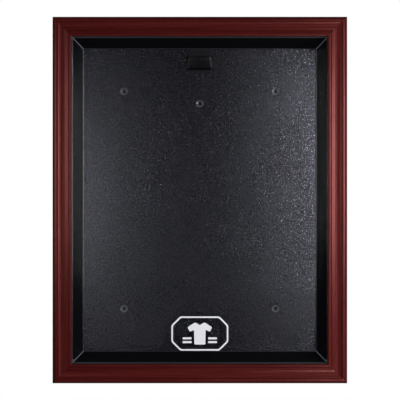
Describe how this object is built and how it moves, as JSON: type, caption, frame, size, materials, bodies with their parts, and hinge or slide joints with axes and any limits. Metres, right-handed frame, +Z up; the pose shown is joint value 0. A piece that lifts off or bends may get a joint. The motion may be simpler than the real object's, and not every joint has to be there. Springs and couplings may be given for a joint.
{
  "type": "jersey display frame",
  "caption": "Wall-hung shallow case with a mitred wood moulding door, clear pane, formed black tray and a pocketed hanger bracket.",
  "frame": {"origin": "middle of the flat back, on the wall", "axes": "+X to the right seen from the front, +Y towards the wall, +Z up"},
  "size_m": [0.8576, 0.089, 1.0668],
  "materials": {
    "mahogany": "satin lacquer over red-brown stain",
    "clear_acrylic": "clear polished sheet",
    "black_plastic": "fine haircell grain",
    "hardboard": "bare",
    "zinc_steel": "zinc plated",
    "brass_plate": "brass plated steel",
    "white_ink": "printed"
  },
  "bodies": {
    "case": {"case_top": "mahogany", "case_bottom": "mahogany", "case_left": "mahogany", "case_right": "mahogany", "back_panel": "hardboard", "tray": "black_plastic", "bracket_plate": "black_plastic", "hanger_bracket": "black_plastic", "bracket_screw_left": "zinc_steel", "bracket_screw_right": "zinc_steel", "upper_hinge_case_leaf": "brass_plate", "upper_hinge_pin": "brass_plate", "upper_case_leaf_screw_high": "brass_plate", "upper_case_leaf_screw_low": "brass_plate", "upper_latch_plate": "zinc_steel", "upper_latch_pivot": "zinc_steel", "upper_latch_plate_screw": "zinc_steel", "tray_screw_upper_left": "zinc_steel", "tray_screw_upper_right": "zinc_steel", "back_panel_screw_upper_left": "zinc_steel", "back_panel_screw_upper_right": "zinc_steel", "lower_hinge_case_leaf": "brass_plate", "lower_hinge_pin": "brass_plate", "lower_case_leaf_screw_high": "brass_plate", "lower_case_leaf_screw_low": "brass_plate", "lower_latch_plate": "zinc_steel", "lower_latch_pivot": "zinc_steel", "lower_latch_plate_screw": "zinc_steel", "tray_screw_lower_left": "zinc_steel", "tray_screw_lower_right": "zinc_steel", "back_panel_screw_lower_left": "zinc_steel", "back_panel_screw_lower_right": "zinc_steel"},
    "door": {"top_rail": "mahogany", "bottom_rail": "mahogany", "left_stile": "mahogany", "right_stile": "mahogany", "clear_pane": "clear_acrylic", "pane_bead_top": "black_plastic", "pane_bead_bottom": "black_plastic", "pane_bead_left": "black_plastic", "pane_bead_right": "black_plastic", "crest_border": "white_ink", "crest_jersey": "white_ink", "v_nail_top_left": "zinc_steel", "v_nail_top_right": "zinc_steel", "v_nail_bottom_left": "zinc_steel", "v_nail_bottom_right": "zinc_steel", "upper_hinge_door_leaf": "brass_plate", "upper_door_leaf_screw_high": "brass_plate", "upper_door_leaf_screw_low": "brass_plate", "upper_strike": "zinc_steel", "upper_strike_screw": "zinc_steel", "lower_hinge_door_leaf": "brass_plate", "lower_door_leaf_screw_high": "brass_plate", "lower_door_leaf_screw_low": "brass_plate", "lower_strike": "zinc_steel", "lower_strike_screw": "zinc_steel"},
    "upper_hook": {"upper_latch_hook": "zinc_steel"},
    "lower_hook": {"lower_latch_hook": "zinc_steel"}
  },
  "joints": [
    {"name": "door_hinge", "type": "hinge", "parent": "case", "child": "door", "pos_m": [-0.42055, -0.0572, 0], "axis": [0, 0, -1], "range_deg": [0, 120]},
    {"name": "upper_hook_pivot", "type": "hinge", "parent": "case", "child": "upper_hook", "pos_m": [0.4193, -0.033, 0.36], "axis": [-1, 0, 0], "range_deg": [0, 180]},
    {"name": "lower_hook_pivot", "type": "hinge", "parent": "case", "child": "lower_hook", "pos_m": [0.4193, -0.033, -0.36], "axis": [-1, 0, 0], "range_deg": [0, 180]}
  ]
}
